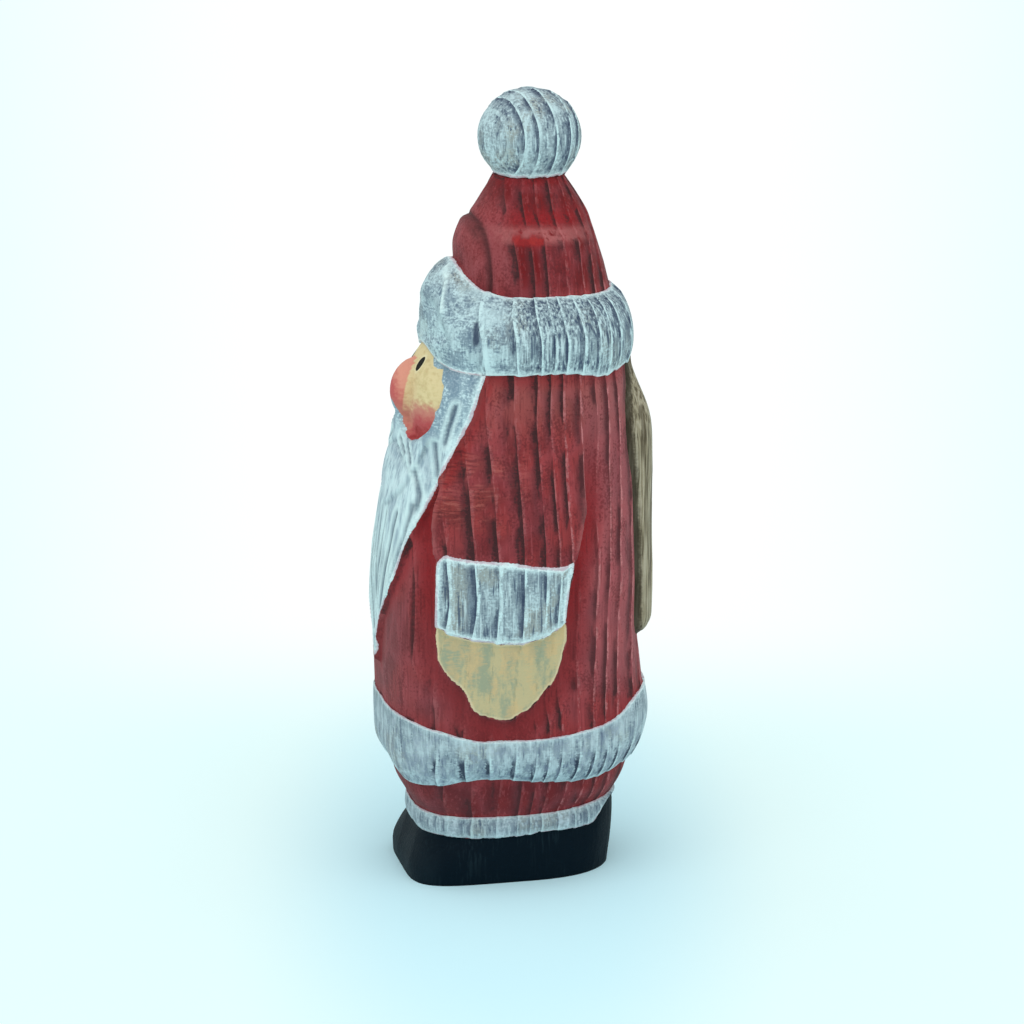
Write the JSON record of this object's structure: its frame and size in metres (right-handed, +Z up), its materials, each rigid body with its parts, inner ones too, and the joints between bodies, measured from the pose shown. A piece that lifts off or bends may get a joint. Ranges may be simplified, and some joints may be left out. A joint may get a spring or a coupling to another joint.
{
  "type": "carved santa figure",
  "caption": "Hand-carved and painted softwood Father Christmas shelf figure with a pompom cap, long beard, sack on the back and mittened arms in low relief.",
  "frame": {"origin": "on the flat underside of the boots, below the middle of the figure's outline", "axes": "+Z up through the pompom, the face looks along -Y, the figure's own left side is +X"},
  "size_m": [0.0374, 0.0419, 0.1192],
  "materials": {
    "painted_wood": "thin hand-brushed paint over brushed softwood grain, satin"
  },
  "bodies": {
    "root": {"carved_santa": "painted_wood"}
  },
  "joints": []
}
